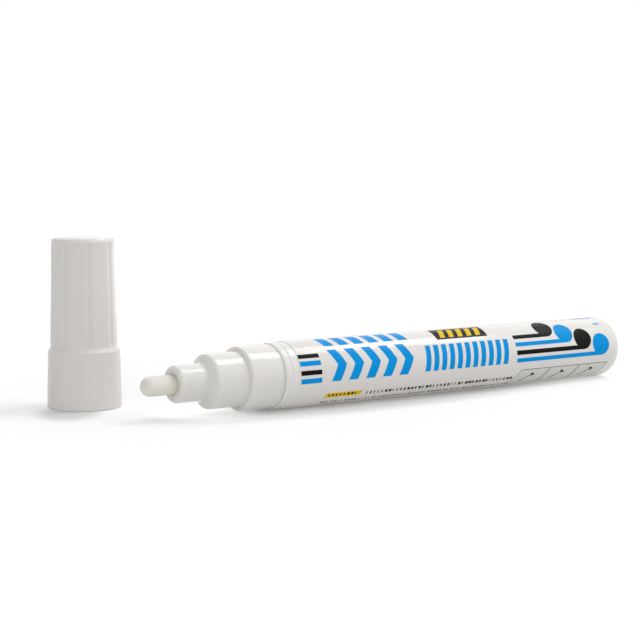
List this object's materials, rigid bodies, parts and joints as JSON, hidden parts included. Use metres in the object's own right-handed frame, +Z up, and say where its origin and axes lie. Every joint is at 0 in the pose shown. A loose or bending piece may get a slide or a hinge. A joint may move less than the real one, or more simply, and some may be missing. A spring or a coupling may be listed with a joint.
{
  "type": "tire marker",
  "caption": "Paint marker lying on its side with its fluted push-on cap standing beside it; spring-loaded bullet nib, stepped nose, crimped metal barrel and printed film.",
  "frame": {"origin": "middle of the footprint of the marker and its cap, on the surface that both stand on", "axes": "+X along the marker from the nib to the closed rear end, +Y from the marker towards the side where the cap stands, +Z up"},
  "size_m": [0.1418, 0.0432, 0.0377],
  "materials": {
    "white_plastic": "smooth moulded white plastic, satin gloss",
    "cap_plastic": "smooth moulded pale grey-white plastic, satin gloss",
    "natural_plastic": "uncoloured milky plastic",
    "white_lacquer": "aluminium with white lacquer, satin gloss",
    "printed_film": "thin white film with printed stripes and bars, glossy",
    "nib_fibre": "pressed fibre, matt",
    "black_rubber": "matt rubber",
    "spring_steel": "drawn spring wire",
    "ball_steel": "polished steel ball"
  },
  "bodies": {
    "marker": {"barrel": "white_lacquer", "printed_film": "printed_film", "front_section": "white_plastic", "section_packing": "black_rubber", "valve_gasket": "black_rubber", "valve_body": "natural_plastic", "valve_spring": "spring_steel"},
    "nib": {"nib": "nib_fibre"},
    "stem": {"valve_stem": "natural_plastic"},
    "ball": {"mixing_ball": "ball_steel"},
    "cap": {"cap_shell": "cap_plastic", "cap_liner": "natural_plastic"}
  },
  "joints": [
    {"name": "cap_lift", "type": "slide", "parent": "marker", "child": "cap", "axis": [0, 0, 1], "range_m": [0, 0.06]},
    {"name": "nib_press", "type": "slide", "parent": "marker", "child": "nib", "axis": [1, 0, 0], "range_m": [0, 0.0015], "stiffness_N_per_m": 400},
    {"name": "stem_press", "type": "slide", "parent": "marker", "child": "stem", "axis": [1, 0, 0], "range_m": [0, 0.0015], "deforming": ["valve_spring"]},
    {"name": "ball_roll", "type": "slide", "parent": "marker", "child": "ball", "axis": [1, 0, 0], "range_m": [-0.034, 0.0325]}
  ],
  "couplings": [
    {"joint": "stem_press", "follows": "nib_press", "ratio": 1}
  ]
}
